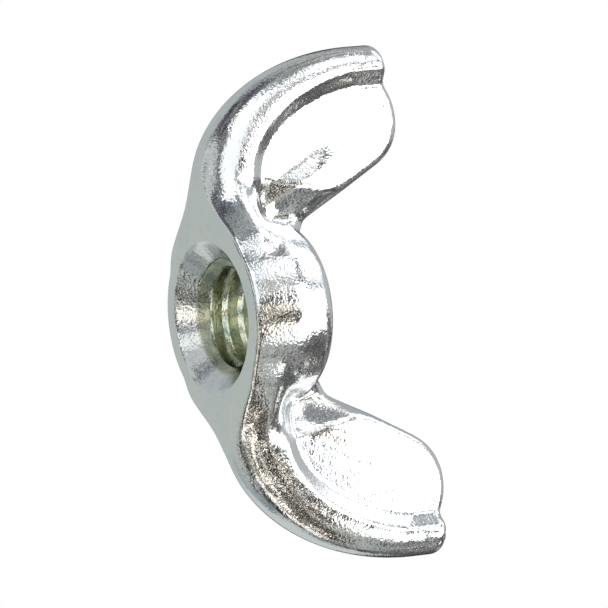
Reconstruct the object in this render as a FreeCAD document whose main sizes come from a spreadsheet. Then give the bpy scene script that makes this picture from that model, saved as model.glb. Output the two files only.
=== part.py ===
import FreeCAD, Part
import math
import os
import Sketcher
from FreeCAD import Placement, Rotation, Vector

# Wing nut, M8 x 1.25: one cold-forged steel piece, tapped right through.
# Frame: origin on the thread axis in the plane of the bearing face, +Z up the axis towards the
# wing tips, X along the wings, Y through their thickness. Millimetres and degrees.

DIMENSIONS = {
    # boss
    "face_radius": 6.15,         # outer edge of the flat bearing ring
    "boss_radius": 6.65,         # straight lower part of the boss
    "base_bevel": 0.45,          # height of the bevel between the two
    "crease_height": 3.9,        # where the straight part ends and the taper starts
    "taper_height": 6.2,         # where the taper ends and the top edge turns in
    "taper_radius": 6.1,
    "boss_height": 6.8,
    "top_radius": 5.4,
    # tapped hole, its two countersinks included
    "thread_minor": 6.7,
    "base_countersink": 10.5,    # both cones are at 90 degrees
    "top_countersink": 9.2,
    "drill_past": 0.5,           # how far the cutting profile stands out of each end
    # lower and outer edge of a wing, seen along Y: a quarter of an ellipse
    "sweep_centre": 8.3,
    "sweep_width": 9.75,
    "sweep_height": 13.5,
    "sweep_lift": 0.1,           # its lowest point, above the bearing face
    # the wing's root, a station that stands upright inside the boss
    "root_x": 3.2,
    "root_lift": 0.3,
    "root_length": 6.1,
    "root_bead": 2.9,
    "root_rim": 2.7,
}

# Stations across a wing, from the boss to the tip. Each stands on the outer edge at its turn of
# the ellipse, counted from the lowest point, and leans back towards the axis. It runs from a
# bead on the outer edge to a thinner rim on the inner edge; both are given as radii.
STATIONS = {
    # name: (turn, lean, length, bead, rim)
    "heel": (4, 21, 8.5, 2.20, 1.90),
    "calf": (25, 30, 10.5, 1.95, 1.40),
    "waist": (42, 35.5, 11.2, 1.80, 1.15),
    "chest": (58, 39, 11.1, 1.70, 0.95),
    "neck": (74, 43.3, 9.1, 1.60, 0.85),
    "brow": (85, 44, 6.0, 1.50, 0.80),
    "tip": (92.5, 42, 2.5, 1.05, 0.70),
}

doc = FreeCAD.newDocument("wing_nut")
sheet = doc.addObject("Spreadsheet::Sheet", "sizes")


def fill_sheet():
    """Write every driving dimension into the sheet, each cell with its alias."""
    cells = dict(DIMENSIONS)
    for name, values in STATIONS.items():
        for quantity, value in zip(("turn", "lean", "length", "bead", "rim"), values):
            cells[name + "_" + quantity] = value
    for row, (alias, value) in enumerate(cells.items(), start=1):
        sheet.set("A%d" % row, alias.replace("_", " "))
        sheet.set("B%d" % row, str(value))
        sheet.setAlias("B%d" % row, alias)
    doc.recompute()


def size(expression):
    """Value of an expression of the sheet's aliases."""
    return float(sheet.evalExpression(expression))


def origin_plane(body, role):
    """One of the body's own origin planes, by its role."""
    return next(item for item in body.Origin.OriginFeatures if item.Role == role)


def new_sketch(body, name, role):
    """Sketch on one of the body's own origin planes."""
    sketch = body.newObject("Sketcher::SketchObject", name)
    sketch.AttachmentSupport = [(origin_plane(body, role), "")]
    sketch.MapMode = "FlatFace"
    return sketch


def bind(sketch, constraint, name, expression):
    """Add a dimension to the sketch, name it and tie it to the sheet."""
    index = sketch.addConstraint(constraint)
    sketch.renameConstraint(index, name)
    sketch.setExpression("Constraints." + name, expression)


def place_corner(sketch, line, kind, expression):
    """Hold the start of a line at a distance from the axes, or on the axis for zero."""
    if expression == "0":
        axis = -2 if kind == "DistanceX" else -1
        sketch.addConstraint(Sketcher.Constraint("PointOnObject", line, 1, axis))
        return
    name = "corner_%d_%s" % (line, "across" if kind == "DistanceX" else "up")
    dimension = Sketcher.Constraint(kind, -1, 1, line, 1, size(expression))
    bind(sketch, dimension, name, expression)


def turned_profile(body, name, corners):
    """Closed polygon in the XZ plane. Each corner is a pair of expressions, radius and height."""
    sketch = new_sketch(body, name, "XZ_Plane")
    points = [Vector(size(across), size(up), 0) for across, up in corners]
    for start, end in zip(points, points[1:] + points[:1]):
        sketch.addGeometry(Part.LineSegment(start, end), False)
    for line in range(len(points)):
        follower = (line + 1) % len(points)
        sketch.addConstraint(Sketcher.Constraint("Coincident", line, 2, follower, 1))
    for line, (across, up) in enumerate(corners):
        place_corner(sketch, line, "DistanceX", across)
        place_corner(sketch, line, "DistanceY", up)
    doc.recompute()
    return sketch


def turn(body, kind, name, sketch):
    """Revolve a profile all the way round the thread axis."""
    feature = body.newObject(kind, name)
    feature.Profile = sketch
    feature.ReferenceAxis = (sketch, ["V_Axis"])
    feature.Angle = 360
    doc.recompute()
    return feature


def wing_section(body, name, x_expression, z_expression, lean, length, bead, rim):
    """Bead and rim arcs joined by two straight flanks, in a plane that holds the Y direction."""
    sketch = new_sketch(body, name + "_section", "YZ_Plane")
    placement = Placement(
        Vector(0, size(z_expression), size(x_expression)), Rotation(Vector(1, 0, 0), -size(lean))
    )
    sketch.AttachmentOffset = placement
    sketch.setExpression("AttachmentOffset.Base.y", z_expression)
    sketch.setExpression("AttachmentOffset.Base.z", x_expression)
    if lean != "0":
        sketch.setExpression("AttachmentOffset.Rotation.Angle", "-(%s)" % lean)
    bead_radius = size(bead)
    rim_radius = size(rim)
    rim_centre = size(length) - rim_radius
    flank = math.asin((bead_radius - rim_radius) / (rim_centre - bead_radius))
    side = Vector(math.cos(flank), math.sin(flank), 0)
    mirrored_side = Vector(-side.x, side.y, 0)
    low = Vector(0, bead_radius, 0)
    high = Vector(0, rim_centre, 0)
    normal = Vector(0, 0, 1)
    bead_circle = Part.Circle(low, normal, bead_radius)
    rim_circle = Part.Circle(high, normal, rim_radius)
    half_turn = math.pi
    sketch.addGeometry(Part.ArcOfCircle(bead_circle, half_turn - flank, 2 * half_turn + flank), False)
    sketch.addGeometry(Part.LineSegment(low + side * bead_radius, high + side * rim_radius), False)
    sketch.addGeometry(Part.ArcOfCircle(rim_circle, flank, half_turn - flank), False)
    sketch.addGeometry(
        Part.LineSegment(high + mirrored_side * rim_radius, low + mirrored_side * bead_radius), False
    )
    for piece in range(4):
        sketch.addConstraint(Sketcher.Constraint("Tangent", piece, 2, (piece + 1) % 4, 1))
    for arc in (0, 2):
        sketch.addConstraint(Sketcher.Constraint("PointOnObject", arc, 3, -2))
    bind(sketch, Sketcher.Constraint("Radius", 0, bead_radius), "bead", bead)
    bind(sketch, Sketcher.Constraint("Radius", 2, rim_radius), "rim", rim)
    bind(sketch, Sketcher.Constraint("DistanceY", -1, 1, 0, 3, bead_radius), "low", bead)
    bind(
        sketch,
        Sketcher.Constraint("DistanceY", -1, 1, 2, 3, rim_centre),
        "high",
        "(%s) - (%s)" % (length, rim),
    )
    doc.recompute()
    return sketch


def wing_sections(body):
    """The root station inside the boss, then the stations along the ellipse."""
    sections = [
        wing_section(
            body,
            "root",
            "sizes.root_x",
            "sizes.root_lift",
            "0",
            "sizes.root_length",
            "sizes.root_bead",
            "sizes.root_rim",
        )
    ]
    for name in STATIONS:
        turned = "(sizes.%s_turn * 1 deg)" % name
        across = "sizes.sweep_centre + sizes.sweep_width * sin%s" % turned
        up = "sizes.sweep_lift + sizes.sweep_height * (1 - cos%s)" % turned
        lean, length, bead, rim = (
            "sizes.%s_%s" % (name, quantity) for quantity in ("lean", "length", "bead", "rim")
        )
        sections.append(wing_section(body, name, across, up, lean, length, bead, rim))
    return sections


def add_wing(body):
    """Loft one wing through its stations."""
    first, *others = wing_sections(body)
    wing = body.newObject("PartDesign::AdditiveLoft", "wing")
    wing.Profile = first
    wing.Sections = [(sketch, [""]) for sketch in others]
    wing.Ruled = False
    doc.recompute()
    return wing


fill_sheet()
body = doc.addObject("PartDesign::Body", "wing_nut")
body.Label = "wing_nut"
boss_profile = turned_profile(
    body,
    "boss_profile",
    [
        ("0", "0"),
        ("sizes.face_radius", "0"),
        ("sizes.boss_radius", "sizes.base_bevel"),
        ("sizes.boss_radius", "sizes.crease_height"),
        ("sizes.taper_radius", "sizes.taper_height"),
        ("sizes.top_radius", "sizes.boss_height"),
        ("0", "sizes.boss_height"),
    ],
)
boss = turn(body, "PartDesign::Revolution", "boss", boss_profile)
wing = add_wing(body)
mirrored = body.newObject("PartDesign::Mirrored", "other_wing")
mirrored.Originals = [wing]
mirrored.MirrorPlane = (origin_plane(body, "YZ_Plane"), [""])
body.Tip = mirrored
doc.recompute()
solid_volume = mirrored.Shape.Volume

# The bore is drilled to the thread's minor diameter, and both of its ends are countersunk.
bore_profile = turned_profile(
    body,
    "bore_profile",
    [
        ("0", "-sizes.drill_past"),
        ("sizes.base_countersink / 2 + sizes.drill_past", "-sizes.drill_past"),
        ("sizes.thread_minor / 2", "(sizes.base_countersink - sizes.thread_minor) / 2"),
        (
            "sizes.thread_minor / 2",
            "sizes.boss_height - (sizes.top_countersink - sizes.thread_minor) / 2",
        ),
        (
            "sizes.top_countersink / 2 + sizes.drill_past",
            "sizes.boss_height + sizes.drill_past",
        ),
        ("0", "sizes.boss_height + sizes.drill_past"),
    ],
)
bore = turn(body, "PartDesign::Groove", "bore", bore_profile)
body.Tip = bore
doc.recompute()
if bore.Shape.Volume > solid_volume - 1:
    raise RuntimeError("the bore cut nothing")

for item in doc.Objects:
    if "Invalid" in item.State or "Error" in item.State:
        raise RuntimeError("%s failed: %s" % (item.Name, item.State))
if body.Shape.isNull() or not body.Shape.isValid() or len(body.Shape.Solids) != 1:
    raise RuntimeError("the nut is not one valid solid")

os.makedirs("parts", exist_ok=True)
body.Shape.exportStep("parts/%s.step" % body.Label)
print("wing_nut: %.0f cubic mm" % body.Shape.Volume)
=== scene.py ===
import math

import bmesh
import bpy
import numpy as np
from mathutils import Matrix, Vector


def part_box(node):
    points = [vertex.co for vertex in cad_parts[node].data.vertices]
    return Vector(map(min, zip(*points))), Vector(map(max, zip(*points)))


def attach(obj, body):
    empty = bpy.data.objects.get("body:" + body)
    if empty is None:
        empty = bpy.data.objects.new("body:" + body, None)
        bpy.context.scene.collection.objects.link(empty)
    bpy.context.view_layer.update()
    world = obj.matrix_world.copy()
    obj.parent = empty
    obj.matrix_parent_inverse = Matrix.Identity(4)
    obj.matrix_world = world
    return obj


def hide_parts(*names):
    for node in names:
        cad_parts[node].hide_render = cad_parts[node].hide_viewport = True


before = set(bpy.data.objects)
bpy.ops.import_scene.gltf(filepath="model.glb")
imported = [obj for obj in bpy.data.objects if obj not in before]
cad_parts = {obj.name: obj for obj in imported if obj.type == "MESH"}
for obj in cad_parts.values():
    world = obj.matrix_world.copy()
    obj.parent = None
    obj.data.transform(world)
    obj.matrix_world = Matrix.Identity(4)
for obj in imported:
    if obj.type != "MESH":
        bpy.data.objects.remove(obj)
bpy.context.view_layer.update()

# ---------------------------------------------------------------------------------------------
# Wing nut: one piece of steel. A slug is forged cold into a short round boss with its two ends
# squeezed into wings, each a round bead along its lower and outer edge with a thinner web inside it.
# The boss is then drilled, countersunk from both ends and tapped, and the whole is zinc plated.
MM = 0.001
nut_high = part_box("wing_nut")[1]
skin_clearance = 0.02                        # millimetres from here to the finished mesh
rounding_loss = 0.1                          # what the rounded edge takes off the top of a wing
boss_radius = nut_high.y / MM
wing_reach = nut_high.x / MM - skin_clearance
wing_top = nut_high.z / MM + rounding_loss

# boss
boss_height = 6.8
crease_height = 3.9                          # straight wall below, taper above
wall_draft = 0.06
taper_slope = 0.25                           # how fast the boss narrows above the crease
face_radius = 6.42                           # flat part of the bearing face
skirt_height = 1.5                           # the wall leans in below this
crease_round = 0.22                          # how widely two faces run into each other
face_round = 0.42
shoulder_round = 1.2
foot_round = 0.3

# outline of a wing, seen along Y; a straight edge is a point on it and the way that leads inwards
sweep_centre = 8.3                           # the outer edge is a quarter of an ellipse
sweep_height = 13.55
sweep_lift = 0.05
inner_edge_at = (7.2, 10.3)
inner_edge_faces = (0.883, -0.47)
tip_edge_at = 12.8
tip_edge_faces = (-0.208, -0.978)
tip_corner_round = 2.9
bead_corner_round = (2.0, 0.8)               # where the bead meets the free edge, low and high up
bead_corner_heights = (11.0, 14.0)
notch_at, notch_width, notch_depth = 15.2, 0.75, 0.22    # dip between the web's tip and the bead's

# thickness of a wing; the pairs are at the root and at the tip
root_at = (5.0, 4.0)                         # thickness falls with distance from here, in X and Z
thinning_start, thinning_length = 2.6, 11.4
web_half = (1.90, 0.72)
bead_half = (2.35, 1.65)
valley_in = (4.4, 2.65)                      # from the outer edge to the valley beside the bead
valley_flanks = (-0.95, 0.45)                # the bead falls to the web between these, round the valley
free_edge_in = (1.6, 0.8)                    # how far in from the free edge its rounding starts
free_edge_fade = (3.0, 9.5)
bead_edge_in = 1.25                          # the same for the bead, as a share of its half-thickness
edge_power = 2.15                            # above 2 the outer edge has a flatter rim
depth_power = 2.2

# thumb pad along the inner edge, and the scooped face below it that starts at a leaning ridge
pad_swell = 0.32
pad_in = (2.3, 3.9)
pad_heights = (8.5, 12.0)
ridge_at = (9.45, 4.0)
ridge_lean = 0.2
scoop_slope = 0.80
scoop_clearance = 0.25
scoop_least = 0.25                           # half-thickness left at the bottom of the scoop
scoop_least_round, scoop_round = 0.2, 0.35
scoop_heights = (2.0, 5.2)

# fillets between wing and boss: small in the middle, wide at the foot, wider again over the shoulder
fillet = 0.6
foot_fillet, foot_fillet_heights, foot_fillet_reach = 3.6, (5.8, 1.8), (1.5, 5.5)
shoulder_fillet, shoulder_fillet_heights = 1.5, (5.6, 8.0)

cell = 0.14                                  # grid step of the skin
settling_rounds = 4
stray_gap = 0.002 * MM                       # closer points are one point
crease_angle = math.radians(28)              # a sharper edge stays sharp when shaded


def smooth_min(a, b, reach):
    """The smaller of two distances, with a fillet between them that starts at the reach."""
    share = np.clip(0.5 + 0.5 * (b - a) / reach, 0.0, 1.0)
    return b + (a - b) * share - reach * share * (1.0 - share)


def smooth_max(a, b, reach):
    return -smooth_min(-a, -b, reach)


def smooth_step(low, high, value):
    """Zero at the low end, one at the high end, with a soft start and finish."""
    share = np.clip((value - low) / (high - low), 0.0, 1.0)
    return share * share * (3.0 - 2.0 * share)


def fade(ends, share):
    """From the first number to the second as the share goes from 0 to 1."""
    return ends[0] + (ends[1] - ends[0]) * share


def boss_skin(x, y, z):
    """Distance from the turned boss: flat base, leaning skirt, wall, taper, round shoulder."""
    radius = np.hypot(x, y)
    wall = radius - boss_radius + wall_draft * (crease_height - z)
    taper = (radius - boss_radius + taper_slope * (z - crease_height)) / math.hypot(1.0, taper_slope)
    lean = (boss_radius - face_radius) / skirt_height
    skirt = (radius - boss_radius + lean * (skirt_height - z)) / math.hypot(1.0, lean)
    side = smooth_max(smooth_max(wall, taper, crease_round), skirt, crease_round)
    body = smooth_max(side, z - boss_height, shoulder_round)
    return smooth_max(body, -z, face_round)


def wing_outline(x, z):
    """Distance in from the outline, the bead's share of it, and both edges taken alone."""
    across = np.maximum(x - sweep_centre, 0.0) / (wing_reach - sweep_centre)
    up = np.maximum(sweep_lift + sweep_height - z, 0.0) / sweep_height
    nearly_zero = 1e-6
    turn = np.hypot(across, up)
    steepness = np.hypot(across / (wing_reach - sweep_centre), up / sweep_height)
    swept = turn * (1.0 - turn) / np.maximum(steepness, nearly_zero)
    outer = np.where(turn > nearly_zero, swept, sweep_height)
    inner = inner_edge_faces[0] * (x - inner_edge_at[0]) + inner_edge_faces[1] * (z - inner_edge_at[1])
    notch = notch_depth * np.exp(-(((x - notch_at) / notch_width) ** 2))
    top = tip_edge_faces[0] * (x - tip_edge_at) + tip_edge_faces[1] * (z - wing_top) - notch
    free = smooth_min(inner, top, tip_corner_round)
    corner = fade(bead_corner_round, smooth_step(*bead_corner_heights, z))
    share = np.clip(0.5 + 0.5 * (free - outer) / corner, 0.0, 1.0)
    return smooth_min(outer, free, corner), share, outer, inner


def wing_section(x, z):
    """Half-thickness of the wing, and how deep in its rounded edge a point lies, from 0 to 1."""
    inside, share, outer, inner = wing_outline(x, z)
    from_root = np.hypot(x - root_at[0], z - root_at[1])
    away = np.clip((from_root - thinning_start) / thinning_length, 0.0, 1.0)
    web = fade(web_half, away)
    bead = fade(bead_half, away)
    valley = fade(valley_in, away)
    swell = 1.0 - smooth_step(valley + valley_flanks[0], valley + valley_flanks[1], outer)
    pad = pad_swell * (1.0 - smooth_step(*pad_in, inner)) * (1.0 - smooth_step(*pad_heights, z))
    half = fade((web + pad, bead), swell)
    beside = (x - ridge_at[0]) + ridge_lean * (z - ridge_at[1])
    scoop = half + scoop_clearance + scoop_slope * beside / math.hypot(1.0, ridge_lean)
    scoop = smooth_max(scoop, scoop_least, scoop_least_round)
    scooped = smooth_min(half, scoop, scoop_round)
    half = fade((half, scooped), smooth_step(*scoop_heights, z))
    free_edge = fade(free_edge_in, smooth_step(*free_edge_fade, from_root))
    edge = fade((free_edge, bead_edge_in * bead), share)
    return half, np.minimum(inside / edge, 1.0)


def wing_value(x, y, z):
    """Below zero inside the wing. Its slope is not even, so it is no distance yet."""
    half, depth = wing_section(x, z)
    return np.abs(y) ** edge_power - half**edge_power * (1.0 - (1.0 - depth) ** depth_power)


def wing_skin(x, y, z):
    """Distance from one wing, close to its surface."""
    step = 0.02
    least_slope = 0.05                       # keeps the distance finite where the slope dies out
    value = wing_value(x, y, z)
    slope_x = (wing_value(x + step, y, z) - value) / step
    slope_y = (wing_value(x, y + step, z) - value) / step
    slope_z = (wing_value(x, y, z + step) - value) / step
    return value / np.sqrt(slope_x**2 + slope_y**2 + slope_z**2 + least_slope)


def nut_skin(x, y, z):
    """The whole forging before it is drilled. Both halves are alike in X and in Y."""
    x, y = np.abs(x), np.abs(y)
    foot = foot_fillet * smooth_step(*foot_fillet_heights, z) * smooth_step(*foot_fillet_reach, x)
    shoulder = shoulder_fillet * smooth_step(*shoulder_fillet_heights, z)
    joined = smooth_min(boss_skin(x, y, z), wing_skin(x, y, z), fillet + foot + shoulder)
    return smooth_max(joined, -z, foot_round)


def grid_skin(skin, high, step):
    """Field values on a grid over the quarter where x and y are positive, mirrored to the whole."""
    below = 3                                # grid steps under the bearing face
    counts = [int(math.ceil(size / step)) + 2 for size in high]
    x, y = (np.arange(count) * step for count in counts[:2])
    z = np.arange(counts[2] + below) * step - below * step
    quarter = skin(x[:, None, None], y[None, :, None], z[None, None, :])
    half = np.concatenate([quarter[:0:-1], quarter], axis=0)
    whole = np.concatenate([half[:, :0:-1], half], axis=1)
    corner = np.array([-x[-1], -y[-1], z[0]])
    return whole, corner


def skin_mesh(skin, high, step):
    """Surface net: one vertex in each grid cell that the skin passes through."""
    field, corner = grid_skin(skin, high, step)
    inside = field < 0.0
    weight = np.zeros([n - 1 for n in field.shape])
    place = np.zeros(weight.shape + (3,))
    edges = []
    for axis in range(3):
        lower = [slice(None)] * 3
        upper = [slice(None)] * 3
        lower[axis], upper[axis] = slice(None, -1), slice(1, None)
        lower, upper = tuple(lower), tuple(upper)
        crossed = np.argwhere(inside[lower] != inside[upper])
        ahead = crossed.copy()
        ahead[:, axis] += 1
        start = field[tuple(crossed.T)]
        end = field[tuple(ahead.T)]
        point = crossed.astype(float)
        point[:, axis] += start / (start - end)
        edges.append((axis, crossed, start < 0.0))
        others = [other for other in range(3) if other != axis]
        for back_first in (0, 1):
            for back_second in (0, 1):
                owner = crossed.copy()
                owner[:, others[0]] -= back_first
                owner[:, others[1]] -= back_second
                np.add.at(weight, tuple(owner.T), 1.0)
                np.add.at(place, tuple(owner.T), point)
    used = weight > 0
    number = np.full(weight.shape, -1)
    number[used] = np.arange(int(used.sum()))
    points = place[used] / weight[used][:, None] * step + corner
    quads = []
    for axis, crossed, solid_first in edges:
        first, second = ((axis + 1) % 3, (axis + 2) % 3)
        ring = []
        for back_first, back_second in ((1, 1), (0, 1), (0, 0), (1, 0)):
            owner = crossed.copy()
            owner[:, first] -= back_first
            owner[:, second] -= back_second
            ring.append(number[tuple(owner.T)])
        quad = np.stack(ring, axis=1)
        quads.append(np.where(solid_first[:, None], quad, quad[:, ::-1]))
    return points, np.concatenate(quads)


def settle(skin, points, rounds):
    """Walk each point straight onto the skin, by no more than half a cell at a time."""
    reach = 0.01
    least_slope = 0.05
    for _ in range(rounds):
        value = skin(*points.T)
        slope = np.stack(
            [
                (skin(*(points + reach * step).T) - skin(*(points - reach * step).T)) / (2 * reach)
                for step in np.eye(3)
            ],
            axis=1,
        )
        steepness = np.maximum((slope**2).sum(axis=1), least_slope)
        move = slope * (value / steepness)[:, None]
        points = points - np.clip(move, -0.5 * cell, 0.5 * cell)
    return points


margin = 0.5                                 # empty space round the forging in the grid
skin_reach = (wing_reach + margin, boss_radius + margin, wing_top + margin)
points, quads = skin_mesh(nut_skin, skin_reach, cell)
points = settle(nut_skin, points, settling_rounds)
forging_mesh = bpy.data.meshes.new("wing_nut_forging")
forging_mesh.from_pydata((points * MM).tolist(), [], quads.tolist())
forging = bpy.data.objects.new("wing_nut_forging", forging_mesh)
bpy.context.scene.collection.objects.link(forging)

# The coat is bright zinc a few micrometres thick over the tumbled forging. It keeps the fine
# orange-peel grain of the steel, is a little uneven in tone, is scratched by the other nuts in the
# barrel, and is dull and yellow in the tapped hole, where the bath drains slowly. The colour in the
# hole is also made much darker than the plating, as painted shade in the bore.
bright_zinc = (0.84, 0.86, 0.88)
warm_zinc = (0.90, 0.89, 0.86)
dull_zinc = (0.66, 0.67, 0.66)
# the two hole colours: a yellow-green tint, made much darker than the plating as painted shade in the bore
green_tint_and_shade = (0.35, 0.40, 0.31)
yellow_tint_and_shade = (0.56, 0.56, 0.41)
# the hole's tint and its painted shade fade in together between these radii
hole_reach = (4.15 * MM, 3.95 * MM)          # the yellow fades in between these radii
cloud_scale, haze_scale, hole_tint_scale = 420.0, 1900.0, 900.0    # features per metre
up_scratch_scale, along_scratch_scale = 1500.0, 1300.0
grain_scale, pit_scale = 5200.0, 1700.0
grain_height, pit_height, scratch_depth = 0.019, 0.016, 0.001  # millimetres
clean_rough, hazy_rough = 0.07, 0.15
scratch_rough, hole_rough = 0.07, 0.08       # added to the rest
haze_share = 0.35

zinc = bpy.data.materials.new("zinc_plate")
zinc.use_nodes = True
coat = zinc.node_tree
coat_shader = coat.nodes["Principled BSDF"]
coat_shader.inputs["Metallic"].default_value = 1.0
in_nut = coat.nodes.new("ShaderNodeTexCoord").outputs["Object"]


def math_node(tree, operation, first, second=None, third=None):
    """One Math node; each input is a number or another node's output."""
    node = tree.nodes.new("ShaderNodeMath")
    node.operation = operation
    for socket, value in zip(node.inputs, (first, second, third)):
        if isinstance(value, bpy.types.NodeSocket):
            tree.links.new(value, socket)
        elif value is not None:
            socket.default_value = value
    return node.outputs[0]


def coat_noise(scale, detail, stretch=(1.0, 1.0, 1.0)):
    """Noise through the solid; the scale is in features per metre."""
    fit = coat.nodes.new("ShaderNodeMapping")
    fit.inputs["Scale"].default_value = stretch
    coat.links.new(in_nut, fit.inputs["Vector"])
    node = coat.nodes.new("ShaderNodeTexNoise")
    node.inputs["Scale"].default_value = scale
    node.inputs["Detail"].default_value = detail
    coat.links.new(fit.outputs[0], node.inputs["Vector"])
    return node.outputs["Fac"]


def coat_ramp(value, start, end, low=0.0, high=1.0):
    """From low to high as the value goes from start to end."""
    node = coat.nodes.new("ShaderNodeMapRange")
    coat.links.new(value, node.inputs["Value"])
    for name, number in (("From Min", start), ("From Max", end), ("To Min", low), ("To Max", high)):
        node.inputs[name].default_value = number
    return node.outputs["Result"]


def layer(tree, under, mask, colour):
    """Lay a colour, or another layer, over what is there already."""
    node = tree.nodes.new("ShaderNodeMix")
    node.data_type = "RGBA"
    tree.links.new(mask, node.inputs["Factor"])
    inputs = {socket.identifier: socket for socket in node.inputs}
    for socket, value in ((inputs["A_Color"], under), (inputs["B_Color"], colour)):
        if isinstance(value, tuple):
            socket.default_value = value + (1.0,)
        else:
            tree.links.new(value, socket)
    return {socket.identifier: socket for socket in node.outputs}["Result_Color"]


def scratch_mask(scale, stretch, start):
    """Thin streaks: noise drawn out along one axis and cut off near its top."""
    return coat_ramp(coat_noise(scale, 1.0, stretch), start, start + 0.06)


nut_axes = coat.nodes.new("ShaderNodeSeparateXYZ")
coat.links.new(in_nut, nut_axes.inputs[0])
square_x = math_node(coat, "MULTIPLY", nut_axes.outputs["X"], nut_axes.outputs["X"])
square_y = math_node(coat, "MULTIPLY", nut_axes.outputs["Y"], nut_axes.outputs["Y"])
from_axis = math_node(coat, "SQRT", math_node(coat, "ADD", square_x, square_y))
in_hole = coat_ramp(from_axis, *hole_reach)

haze = coat_noise(haze_scale, 3.0)
plating = layer(coat, bright_zinc, coat_ramp(coat_noise(cloud_scale, 2.0), 0.35, 0.65), warm_zinc)
plating = layer(coat, plating, coat_ramp(haze, 0.60, 0.75, 0.0, haze_share), dull_zinc)
# in the hole: a random mix of the two tints, both darkened as painted shade
hole_tint_and_shade = layer(coat, green_tint_and_shade, coat_ramp(coat_noise(hole_tint_scale, 2.0), 0.4, 0.6), yellow_tint_and_shade)
coat.links.new(layer(coat, plating, in_hole, hole_tint_and_shade), coat_shader.inputs["Base Color"])

up_scratches = scratch_mask(up_scratch_scale, (1.0, 1.0, 0.06), 0.68)
along_scratches = scratch_mask(along_scratch_scale, (0.07, 1.0, 1.0), 0.69)
scratches = math_node(coat, "MAXIMUM", up_scratches, along_scratches)
rough = coat_ramp(haze, 0.3, 0.7, clean_rough, hazy_rough)
rough = math_node(coat, "MULTIPLY_ADD", scratches, scratch_rough, rough)
rough = math_node(coat, "MULTIPLY_ADD", in_hole, hole_rough, rough)
coat.links.new(rough, coat_shader.inputs["Roughness"])

pits = math_node(coat, "MULTIPLY", coat_noise(pit_scale, 1.0), pit_height)
relief = math_node(coat, "MULTIPLY_ADD", coat_noise(grain_scale, 1.5), grain_height, pits)
relief = math_node(coat, "MULTIPLY_ADD", scratches, -scratch_depth, relief)
bump = coat.nodes.new("ShaderNodeBump")
bump.inputs["Strength"].default_value = 1.0
bump.inputs["Distance"].default_value = MM   # the relief is in millimetres
coat.links.new(relief, bump.inputs["Height"])
coat.links.new(bump.outputs[0], coat_shader.inputs["Normal"])

# The tapped hole is drilled to the thread's minor diameter, countersunk from both ends, then cut
# with a right-handed tap. The tool's shape, cones included, is one plug, taken out of the forging.
thread_pitch = 1.25
thread_major = 8.0
rows_per_turn = 16                           # one row for each sixteenth of the pitch
groove_floor_rows = 1                        # half the width of the flat root of the thread
thread_deep_rows = 5                         # rows down a 60 degree flank, root to crest
thread_columns = 80
base_countersink = 10.5                      # mouth of the hole in the bearing face
top_countersink = 9.2
rim_round = 0.16
plug_overrun = 0.5                           # the plug stands out of the forging at both ends
cap_rise = 1.0                               # from the forging to the point that closes each end
weld_distance = 1e-4                         # closes the seam where each turn meets the next
flank_slope = math.sqrt(3.0)


def cone_radius(tree, depth, mouth, lip):
    """Radius of a 90 degree countersink at a depth, its rim flared by a small round."""
    sunk = math_node(tree, "MAXIMUM", depth, 0.0)
    straight = math_node(tree, "SUBTRACT", mouth, sunk)
    near = math_node(tree, "MAXIMUM", math_node(tree, "SUBTRACT", lip, sunk), 0.0)
    flare = math_node(tree, "DIVIDE", math_node(tree, "MULTIPLY", near, near), lip)
    return math_node(tree, "ADD", straight, math_node(tree, "MULTIPLY", flare, 0.5))


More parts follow.
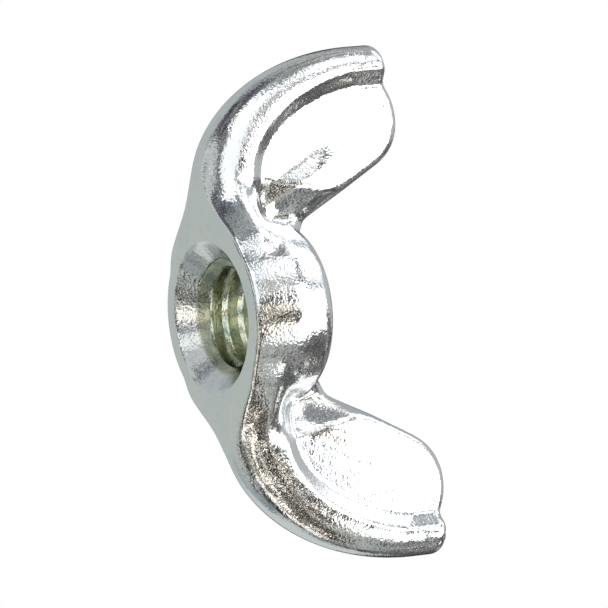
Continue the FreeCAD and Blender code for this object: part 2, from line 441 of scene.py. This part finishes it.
def plug_tree():
    """Rows follow the helix, so that every crest and root of the thread is a clean line."""
    tree = bpy.data.node_groups.new("tap_and_countersinks", "GeometryNodeTree")
    tree.interface.new_socket("Geometry", in_out="OUTPUT", socket_type="NodeSocketGeometry")
    sizes = ("Pitch", "Major Radius", "Base Mouth", "Top Mouth", "Height", "Lip", "Past Ends")
    for name in sizes:
        tree.interface.new_socket(name, in_out="INPUT", socket_type="NodeSocketFloat")
    tree.interface.new_socket("Rows", in_out="INPUT", socket_type="NodeSocketInt")
    tree.interface.new_socket("Columns", in_out="INPUT", socket_type="NodeSocketInt")
    tree.interface.new_socket("Coat", in_out="INPUT", socket_type="NodeSocketMaterial")
    given = tree.nodes.new("NodeGroupInput").outputs
    grid = tree.nodes.new("GeometryNodeMeshGrid")
    grid.inputs["Size X"].default_value = 1.0
    grid.inputs["Size Y"].default_value = 1.0
    tree.links.new(given["Columns"], grid.inputs["Vertices X"])
    tree.links.new(given["Rows"], grid.inputs["Vertices Y"])
    place = tree.nodes.new("GeometryNodeInputPosition")
    split = tree.nodes.new("ShaderNodeSeparateXYZ")
    tree.links.new(place.outputs[0], split.inputs[0])
    turn = math_node(tree, "ADD", split.outputs["X"], 0.5)
    climb = math_node(tree, "ADD", split.outputs["Y"], 0.5)
    last_row = math_node(tree, "SUBTRACT", given["Rows"], 1.0)
    row_rise = math_node(tree, "DIVIDE", given["Pitch"], float(rows_per_turn))
    rise = math_node(tree, "MULTIPLY", math_node(tree, "MULTIPLY", climb, last_row), row_rise)
    start = math_node(tree, "MULTIPLY", given["Past Ends"], -1.0)
    lift = math_node(tree, "ADD", rise, math_node(tree, "MULTIPLY", turn, given["Pitch"]))
    height = math_node(tree, "ADD", start, lift)
    # distance along the axis from the middle of the nearest groove
    groove = math_node(tree, "PINGPONG", rise, math_node(tree, "MULTIPLY", given["Pitch"], 0.5))
    flat = math_node(tree, "MULTIPLY", row_rise, float(groove_floor_rows))
    flank = math_node(tree, "MAXIMUM", math_node(tree, "SUBTRACT", groove, flat), 0.0)
    cut = math_node(tree, "MULTIPLY", flank, flank_slope)
    full_depth = math_node(tree, "MULTIPLY", row_rise, thread_deep_rows * flank_slope)
    depth = math_node(tree, "MINIMUM", cut, full_depth)
    thread = math_node(tree, "SUBTRACT", given["Major Radius"], depth)
    base = cone_radius(tree, height, given["Base Mouth"], given["Lip"])
    from_top = math_node(tree, "SUBTRACT", given["Height"], height)
    top = cone_radius(tree, from_top, given["Top Mouth"], given["Lip"])
    radius = math_node(tree, "MAXIMUM", thread, math_node(tree, "MAXIMUM", base, top))
    angle = math_node(tree, "MULTIPLY", turn, 2.0 * math.pi)
    join = tree.nodes.new("ShaderNodeCombineXYZ")
    across = math_node(tree, "MULTIPLY", radius, math_node(tree, "COSINE", angle))
    along = math_node(tree, "MULTIPLY", radius, math_node(tree, "SINE", angle))
    for socket, value in zip(join.inputs, (across, along, height)):
        tree.links.new(value, socket)
    move = tree.nodes.new("GeometryNodeSetPosition")
    tree.links.new(grid.outputs["Mesh"], move.inputs["Geometry"])
    tree.links.new(join.outputs[0], move.inputs["Position"])
    weld = tree.nodes.new("GeometryNodeMergeByDistance")
    weld.inputs["Distance"].default_value = weld_distance
    tree.links.new(move.outputs[0], weld.inputs["Geometry"])
    real = tree.nodes.new("GeometryNodeRealizeInstances")
    tree.links.new(weld.outputs[0], real.inputs[0])
    finish = tree.nodes.new("GeometryNodeSetMaterial")
    tree.links.new(real.outputs[0], finish.inputs["Geometry"])
    tree.links.new(given["Coat"], finish.inputs["Material"])
    tree.links.new(finish.outputs[0], tree.nodes.new("NodeGroupOutput").inputs[0])
    return tree


def set_input(modifier, name, value):
    """Set a modifier's input by the identifier that its name stands for."""
    items = modifier.node_group.interface.items_tree
    modifier[next(item.identifier for item in items if item.name == name)] = value


def plug_mesh():
    """The tool as a closed mesh; each open end is shut by a fan of faces to a point on the axis."""
    holder = bpy.data.objects.new("plug", bpy.data.meshes.new("plug"))
    bpy.context.scene.collection.objects.link(holder)
    modifier = holder.modifiers.new("tap", "NODES")
    modifier.node_group = plug_tree()
    past_ends = plug_overrun + thread_pitch
    set_input(modifier, "Pitch", thread_pitch)
    set_input(modifier, "Major Radius", thread_major / 2)
    set_input(modifier, "Base Mouth", base_countersink / 2)
    set_input(modifier, "Top Mouth", top_countersink / 2)
    set_input(modifier, "Height", boss_height)
    set_input(modifier, "Lip", rim_round)
    set_input(modifier, "Past Ends", past_ends)
    turns = math.ceil((boss_height + plug_overrun + past_ends) / thread_pitch)
    set_input(modifier, "Rows", turns * rows_per_turn + 1)
    set_input(modifier, "Columns", thread_columns + 1)
    set_input(modifier, "Coat", zinc)
    shape = holder.evaluated_get(bpy.context.evaluated_depsgraph_get())
    mesh = bpy.data.meshes.new_from_object(shape)
    bpy.data.objects.remove(holder)
    cage = bmesh.new()
    cage.from_mesh(mesh)
    rims = [edge for edge in cage.edges if edge.is_boundary]
    for at_top, cap_height in ((False, -cap_rise), (True, boss_height + cap_rise)):
        middle = cage.verts.new((0.0, 0.0, cap_height))
        for edge in rims:
            if (edge.verts[0].co.z > boss_height / 2) == at_top:
                cage.faces.new((edge.verts[0], edge.verts[1], middle))
    bmesh.ops.recalc_face_normals(cage, faces=cage.faces)
    bmesh.ops.scale(cage, vec=(MM, MM, MM), verts=cage.verts)
    cage.to_mesh(mesh)
    cage.free()
    return mesh


def sharpen(mesh, angle):
    """Smooth shading, broken only along the edges that are sharper than the angle."""
    cage = bmesh.new()
    cage.from_mesh(mesh)
    bmesh.ops.remove_doubles(cage, verts=cage.verts, dist=stray_gap)
    bmesh.ops.recalc_face_normals(cage, faces=cage.faces)
    for face in cage.faces:
        face.smooth = True
    for edge in cage.edges:
        edge.smooth = edge.is_manifold and edge.calc_face_angle(0.0) < angle
    cage.to_mesh(mesh)
    cage.free()


plug = bpy.data.objects.new("plug", plug_mesh())
bpy.context.scene.collection.objects.link(plug)
forging_mesh.materials.append(zinc)
drilling = forging.modifiers.new("drilling", "BOOLEAN")
drilling.operation = "DIFFERENCE"
drilling.solver = "EXACT"
drilling.object = plug
drilled = forging.evaluated_get(bpy.context.evaluated_depsgraph_get())
forging.data = bpy.data.meshes.new_from_object(drilled)
forging.modifiers.remove(drilling)
bpy.data.objects.remove(plug)
sharpen(forging.data, crease_angle)
forging.data.materials.clear()
forging.data.materials.append(zinc)
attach(forging, "root")
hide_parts("wing_nut")

# ---------------------------------------------------------------------------------------------
# Studio floor: a sheet of white card that the nut stands on, with a faint fibre in it. From below
# it is clear, and it casts no shadow or reflection, so the base is lit like the rest.
half_floor = 1.5
card_shade, card_white = (0.79, 0.79, 0.78), (0.81, 0.81, 0.80)
card_rough = 0.9
fibre_scale = 900.0                          # features per metre
floor_drop = -0.02 * MM                      # keeps the card just clear of the bearing face
floor_mesh = bpy.data.meshes.new("floor")
floor_corners = [(x * half_floor, y * half_floor, 0) for x, y in ((-1, -1), (1, -1), (1, 1), (-1, 1))]
floor_mesh.from_pydata(floor_corners, [], [(0, 1, 2, 3)])
floor = bpy.data.objects.new("floor", floor_mesh)
floor.location.z = floor_drop
bpy.context.scene.collection.objects.link(floor)
floor.visible_glossy = False
floor.visible_diffuse = False
floor.visible_shadow = False
floor.visible_transmission = False
card = bpy.data.materials.new("white_card")
card.use_nodes = True
sheet = card.node_tree
card_shader = sheet.nodes["Principled BSDF"]
card_shader.inputs["Roughness"].default_value = card_rough
fibre = sheet.nodes.new("ShaderNodeTexNoise")
fibre.inputs["Scale"].default_value = fibre_scale
fibre.inputs["Detail"].default_value = 3.0
sheet.links.new(sheet.nodes.new("ShaderNodeTexCoord").outputs["Object"], fibre.inputs["Vector"])
card_tone = layer(sheet, card_shade, fibre.outputs["Fac"], card_white)
sheet.links.new(card_tone, card_shader.inputs["Base Color"])
seen = sheet.nodes.new("ShaderNodeNewGeometry")
clear = sheet.nodes.new("ShaderNodeBsdfTransparent")
one_sided = sheet.nodes.new("ShaderNodeMixShader")
sheet.links.new(seen.outputs["Backfacing"], one_sided.inputs["Fac"])
sheet.links.new(card_shader.outputs[0], one_sided.inputs[1])
sheet.links.new(clear.outputs[0], one_sided.inputs[2])
sheet.links.new(one_sided.outputs[0], sheet.nodes["Material Output"].inputs["Surface"])
floor_mesh.materials.append(card)

# ---------------------------------------------------------------------------------------------
# Studio light: a tent of soft boxes with dark gaps between them, in front of a cluttered room. Bright
# plating shows little but what is round it, so the tent is drawn in some detail, each part of it a
# colour laid over a range of directions. The camera itself sees plain white.
flat_looks = (0.036, -0.868, 0.497)          # what the near flats of the wings show
flat_up = (0.0, 0.497, 0.868)                # square to it, towards the wing tips
far_flat_looks = (0.036, 0.868, 0.497)
clutter_scale = 8.0

# colours, in which 1 is white
gap_black, gap_grey = (0.02, 0.02, 0.022), (0.12, 0.12, 0.125)
gap_blue, gap_pale = (0.04, 0.043, 0.055), (0.34, 0.35, 0.38)
glint_grey = (0.62, 0.64, 0.60)
low_card_grey, low_lamp_white = (0.62, 0.65, 0.66), (1.0, 1.05, 1.02)
room_black, room_brown, room_glint = (0.022, 0.020, 0.019), (0.17, 0.152, 0.13), (2.4, 2.25, 2.0)
sheet_white, lamp_white = (1.1, 1.13, 1.15), (1.6, 1.52, 1.4)
right_card_dim, right_card_grey, left_card_grey = (0.36, 0.40, 0.41), (0.60, 0.64, 0.63), (0.46, 0.50, 0.51)
roof_black, roof_dim, roof_glint = (0.06, 0.06, 0.065), (0.27, 0.27, 0.265), (1.4, 1.4, 1.35)
roof_blue, roof_pale, roof_grey = (0.16, 0.165, 0.18), (0.55, 0.56, 0.58), (0.42, 0.44, 0.45)
roof_white, ridge_grey = (1.5, 1.53, 1.56), (0.50, 0.52, 0.53)
frame_black, top_box_white, left_box_white = (0.07, 0.075, 0.08), (2.0, 2.05, 2.1), (1.5, 1.55, 1.6)
wall_blue, wall_grey, right_wall_grey = (0.09, 0.095, 0.12), (0.40, 0.44, 0.425), (0.42, 0.46, 0.45)
backdrop = (0.47, 0.52, 0.50)
far_dark = (0.10, 0.11, 0.11)

studio = bpy.data.worlds.new("studio")
bpy.context.scene.world = studio
studio.use_nodes = True
sky = studio.node_tree
sky.nodes.clear()
sky_coords = sky.nodes.new("ShaderNodeTexCoord").outputs["Generated"]


def sky_dot(direction):
    """How nearly a direction in the sky is the one given, from -1 to 1."""
    node = sky.nodes.new("ShaderNodeVectorMath")
    node.operation = "DOT_PRODUCT"
    sky.links.new(sky_coords, node.inputs[0])
    node.inputs[1].default_value = direction
    return node.outputs["Value"]


def soft_step(value, start, end):
    node = sky.nodes.new("ShaderNodeMapRange")
    node.interpolation_type = "SMOOTHSTEP"
    sky.links.new(value, node.inputs["Value"])
    node.inputs["From Min"].default_value = start
    node.inputs["From Max"].default_value = end
    return node.outputs["Result"]


def times(first, second):
    return math_node(sky, "MULTIPLY", first, second)


def between(value, low, high, soft):
    """One from low to high, with soft ends."""
    return times(soft_step(value, low - soft, low + soft), soft_step(value, high + soft, high - soft))


def over(under, mask, colour):
    return layer(sky, under, mask, colour)


def speckled(under, colour, start, end):
    """The colour shows wherever the clutter is stronger than these limits."""
    return over(under, soft_step(clutter, start, end), colour)


# A direction is told by how nearly it is what a flat shows, and by its height, side, rise and bearing.
facing = sky_dot(flat_looks)
height = sky_dot(flat_up)
side = sky_dot((1.0, 0.0, 0.0))
rise = sky_dot((0.0, 0.0, 1.0))
bearing = math_node(sky, "ARCTAN2", side, sky_dot((0.0, -1.0, 0.0)))
bearing = times(bearing, 180.0 / math.pi)    # degrees: 0 towards -Y, 90 towards +X

sky_noise = sky.nodes.new("ShaderNodeTexNoise")
sky_noise.inputs["Scale"].default_value = clutter_scale
sky_noise.inputs["Detail"].default_value = 4.0
sky_noise.inputs["Roughness"].default_value = 0.6
sky.links.new(sky_coords, sky_noise.inputs["Vector"])
clutter = sky_noise.outputs["Fac"]

# below: a pale backdrop with a dark, cluttered gap round it, a low card and a low lamp
low_card = times(between(rise, -0.88, -0.58, 0.08), soft_step(clutter, 0.36, 0.5))
low_lamp = times(between(bearing, -62.0, -30.0, 5.0), soft_step(rise, -0.76, -0.80))
low_lamp = times(low_lamp, soft_step(clutter, 0.34, 0.42))
low_glints = times(soft_step(rise, -0.6, -0.7), soft_step(clutter, 0.47, 0.53))
gap_right = over(speckled(gap_black, gap_grey, 0.5, 0.66), low_glints, glint_grey)
gap_left = speckled(gap_blue, gap_pale, 0.44, 0.66)
gap_left = over(over(gap_left, low_card, low_card_grey), low_lamp, low_lamp_white)
gap = over(gap_right, soft_step(side, 0.1, -0.3), gap_left)

# the room: dark, warm and full of small bright things, with a white sheet at the left and a lamp
room = speckled(speckled(room_black, room_brown, 0.42, 0.58), room_glint, 0.565, 0.60)
sheet_side = soft_step(math_node(sky, "MULTIPLY_ADD", height, 1.67, side), -0.56, -0.64)
sheet_side = times(sheet_side, soft_step(side, 0.05, -0.10))
lamp = times(between(facing, -0.04, 0.10, 0.04), soft_step(side, -0.1, 0.1))
lamp = times(lamp, soft_step(clutter, 0.38, 0.50))
front = over(over(room, sheet_side, sheet_white), lamp, lamp_white)
light = over(backdrop, between(facing, -0.70, 0.5, 0.05), gap)
light = over(light, soft_step(facing, 0.34, 0.52), front)
light = over(light, times(soft_step(facing, -0.12, -0.04), soft_step(side, -0.2, 0.05)), front)

# grey cards low at both sides
right_cards = between(bearing, 98.0, 162.0, 5.0)
low_right = times(right_cards, between(rise, -0.66, -0.30, 0.04))
left_cards = times(between(bearing, -165.0, -106.0, 5.0), between(rise, -0.50, 0.38, 0.04))
light = over(light, times(low_right, soft_step(clutter, 0.36, 0.50)), right_card_dim)
light = over(light, times(right_cards, between(rise, -0.31, 0.38, 0.03)), right_card_grey)
light = over(light, times(left_cards, soft_step(clutter, 0.30, 0.44)), left_card_grey)

# the roof of the tent, brighter to the left, with one soft box in it
roof_right = speckled(speckled(roof_black, roof_dim, 0.42, 0.58), roof_glint, 0.57, 0.63)
roof_left = speckled(roof_blue, roof_pale, 0.42, 0.56)
roof_left = over(roof_left, soft_step(rise, 0.5, 0.62), roof_grey)
roof_box = times(soft_step(rise, 0.5, 0.62), between(bearing, -98.0, -20.0, 4.0))
roof_left = over(roof_left, times(roof_box, soft_step(side, -0.08, -0.26)), roof_white)
roof = over(roof_right, soft_step(side, 0.0, -0.2), roof_left)
roof = over(roof, times(soft_step(rise, 0.86, 0.95), soft_step(side, 0.2, 0.0)), ridge_grey)
light = over(light, times(soft_step(height, 0.01, 0.05), soft_step(facing, -0.4, -0.2)), roof)

# the two soft boxes that the flats show, with the frames and bars round them
box_foot = math_node(sky, "MULTIPLY_ADD", between(side, 0.05, 0.24, 0.05), -0.13, height)
box_foot = soft_step(box_foot, -0.07, -0.035)
top_box = times(times(between(bearing, -28.0, 42.0, 2.0), box_foot), soft_step(height, 0.63, 0.57))
frames = times(between(bearing, -62.0, -24.0, 2.0), between(height, 0.08, 0.58, 0.03))
bars = math_node(sky, "MAXIMUM", between(rise, 0.28, 0.35, 0.02), between(rise, 0.61, 0.70, 0.02))
bars = times(bars, between(bearing, -66.0, -24.0, 2.0))
left_box = times(between(bearing, -62.0, -36.0, 2.0), between(height, -0.5, 0.55, 0.03))
left_box = times(left_box, math_node(sky, "SUBTRACT", 1.0, bars))
light = over(light, math_node(sky, "MAXIMUM", frames, bars), frame_black)
light = over(light, top_box, top_box_white)
light = over(light, left_box, left_box_white)

# grey walls at both ends, and the dark side that the far flats show
right_wall = times(between(bearing, 34.0, 96.0, 4.0), soft_step(rise, 0.20, 0.24))
walls = math_node(sky, "ADD", between(bearing, -96.0, -50.0, 4.0), right_wall)
wall = over(speckled(wall_blue, wall_grey, 0.40, 0.54), soft_step(side, 0.0, 0.2), right_wall_grey)
light = over(light, times(walls, between(rise, 0.10, 0.36, 0.02)), wall)
light = over(light, soft_step(sky_dot(far_flat_looks), 0.955, 0.985), far_dark)

tent = sky.nodes.new("ShaderNodeBackground")
sky.links.new(light, tent.inputs["Color"])
white = sky.nodes.new("ShaderNodeBackground")
white.inputs["Color"].default_value = (1, 1, 1, 1)
camera_ray = sky.nodes.new("ShaderNodeLightPath").outputs["Is Camera Ray"]
seen_sky = sky.nodes.new("ShaderNodeMixShader")
sky.links.new(camera_ray, seen_sky.inputs["Fac"])
sky.links.new(tent.outputs[0], seen_sky.inputs[1])
sky.links.new(white.outputs[0], seen_sky.inputs[2])
sky.links.new(seen_sky.outputs[0], sky.nodes.new("ShaderNodeOutputWorld").inputs["Surface"])
bpy.context.scene.view_settings.view_transform = "Standard"

# ---------------------------------------------------------------------------------------------
# Camera: a long lens that looks at the nut a little from below, so that the bearing face, the
# tapped hole and one flat of each wing are in view, with the wings standing upright in the frame.
axis_turn = math.radians(60.5)               # between the nut's axis and the line of sight
frame_roll = math.radians(-7.52)
frame_tilt = math.radians(-3.35)
camera_distance = 0.55
frame_width = 42.06 * MM                     # what the frame spans at the nut
aim_right = 6.49 * MM                        # from the middle of the bearing face to the aim
aim_down = -0.95 * MM

# right, down and forward, as rows in the nut's frame
nut_rows = (
    (0, -math.cos(axis_turn), math.sin(axis_turn)),
    (1, 0, 0),
    (0, math.sin(axis_turn), math.cos(axis_turn)),
)
turned = Matrix.Rotation(frame_tilt, 3, "X") @ Matrix.Rotation(frame_roll, 3, "Z") @ Matrix(nut_rows)
right, down, forward = turned
camera_data = bpy.data.cameras.new("camera")
camera_data.sensor_width = 36.0
camera_data.lens = camera_data.sensor_width * camera_distance / frame_width
camera_data.clip_start = 0.01
camera_data.clip_end = 10.0
camera = bpy.data.objects.new("camera", camera_data)
bpy.context.scene.collection.objects.link(camera)
camera_at = right * aim_right + down * aim_down - forward * camera_distance
camera_turn = Matrix((right, -down, -forward)).transposed().to_4x4()
camera.matrix_world = Matrix.Translation(camera_at) @ camera_turn
bpy.context.scene.camera = camera
